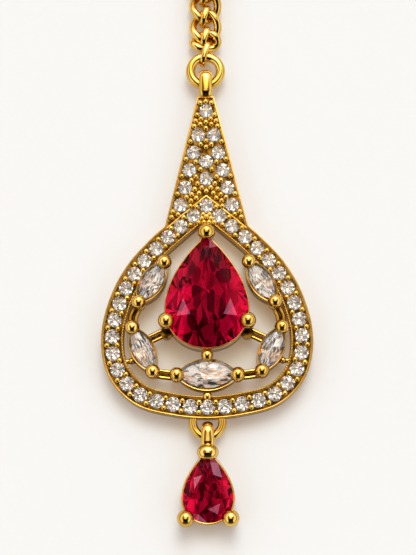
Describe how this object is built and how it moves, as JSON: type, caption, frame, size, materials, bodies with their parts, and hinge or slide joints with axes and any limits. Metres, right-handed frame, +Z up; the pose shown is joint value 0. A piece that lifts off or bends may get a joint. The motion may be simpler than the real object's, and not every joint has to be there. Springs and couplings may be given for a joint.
{
  "type": "maang tikka",
  "caption": "Forehead jewel: a pierced teardrop pendant with a pear stone, marquises and a spire of round stones, on a link chain with a hair hook, a pear drop below.",
  "frame": {"origin": "on the flat back of the centre stone's cup, under the middle of the stone", "axes": "+Z up out of the face, away from the flat back; +Y along the chain to the hair hook; +X to the right of the face"},
  "size_m": [0.0262, 0.1203, 0.0048],
  "materials": {
    "polished_gold": "polished",
    "ruby_red": "faceted and polished",
    "clear_stone": "faceted and polished"
  },
  "bodies": {
    "root": {"centre_ruby": "ruby_red", "chain_link_01": "polished_gold", "chain_link_02": "polished_gold", "chain_link_03": "polished_gold", "chain_link_04": "polished_gold", "chain_link_05": "polished_gold", "chain_link_06": "polished_gold", "chain_link_07": "polished_gold", "chain_link_08": "polished_gold", "chain_link_09": "polished_gold", "chain_link_10": "polished_gold", "chain_link_11": "polished_gold", "chain_link_12": "polished_gold", "chain_link_13": "polished_gold", "chain_link_14": "polished_gold", "chain_link_15": "polished_gold", "chain_ring_01": "polished_gold", "chain_ring_02": "polished_gold", "chain_ring_03": "polished_gold", "chain_ring_04": "polished_gold", "chain_ring_05": "polished_gold", "chain_ring_06": "polished_gold", "chain_ring_07": "polished_gold", "chain_ring_08": "polished_gold", "chain_ring_09": "polished_gold", "chain_ring_10": "polished_gold", "chain_ring_11": "polished_gold", "chain_ring_12": "polished_gold", "chain_ring_13": "polished_gold", "chain_ring_14": "polished_gold", "chain_ring_15": "polished_gold", "chain_ring_16": "polished_gold", "drop_ruby": "ruby_red", "drop_setting": "polished_gold", "hair_hook": "polished_gold", "jump_ring": "polished_gold", "marquise_bottom": "clear_stone", "marquise_lower_left": "clear_stone", "marquise_lower_right": "clear_stone", "marquise_upper_left": "clear_stone", "marquise_upper_right": "clear_stone", "pave_frame": "polished_gold"}
  },
  "joints": []
}
